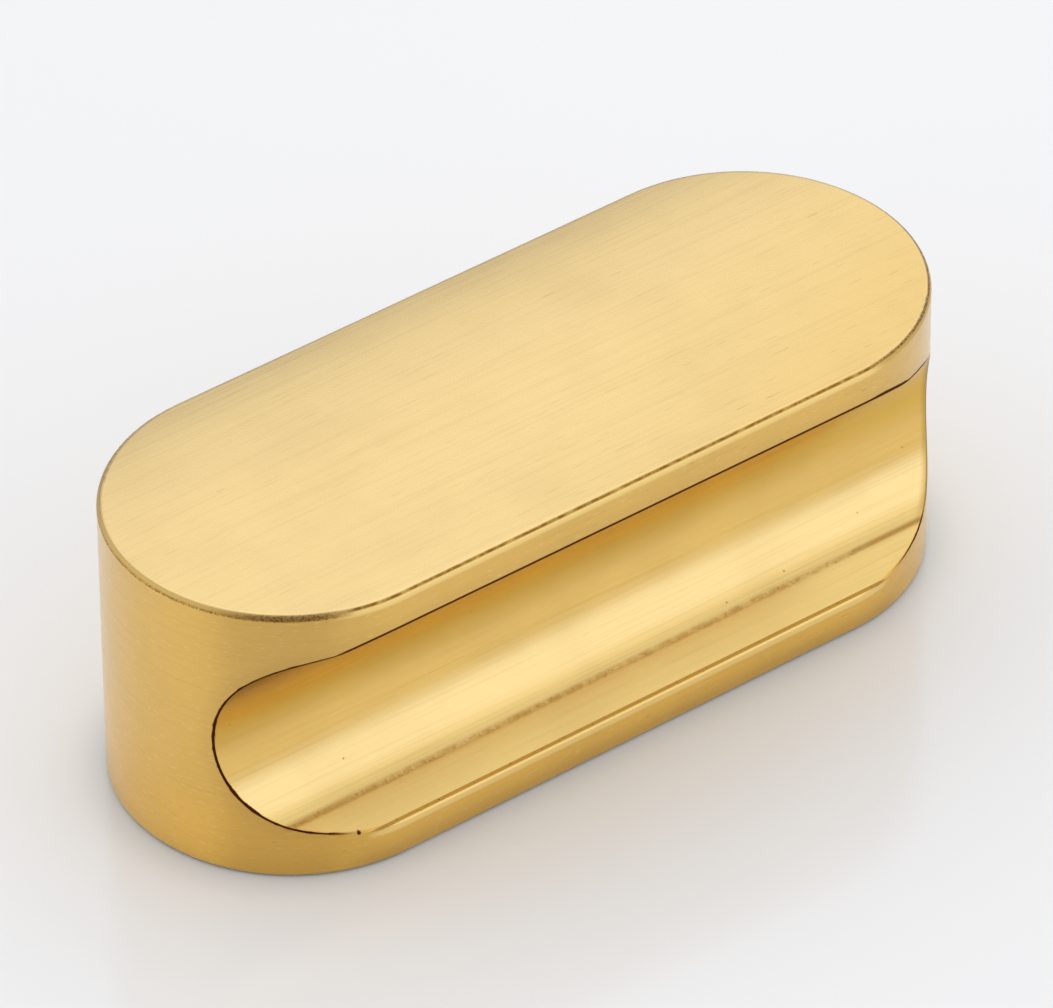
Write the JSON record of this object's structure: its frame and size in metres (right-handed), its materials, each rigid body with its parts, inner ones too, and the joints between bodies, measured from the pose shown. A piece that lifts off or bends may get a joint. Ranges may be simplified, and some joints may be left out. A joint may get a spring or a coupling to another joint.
{
  "type": "recessed drawer knob",
  "caption": "Obround solid brass finger pull for a drawer or door front, with a cove along one side for the fingertips and tapped fixing holes in its flat back.",
  "frame": {"origin": "centre of the flat back that lies against the drawer front", "axes": "+X along the pull, +Z out of the drawer front towards the user, the finger cove opens towards -Y"},
  "size_m": [0.06, 0.024, 0.021],
  "materials": {
    "satin_brass": "brushed satin"
  },
  "bodies": {
    "root": {"pull_body": "satin_brass"}
  },
  "joints": []
}
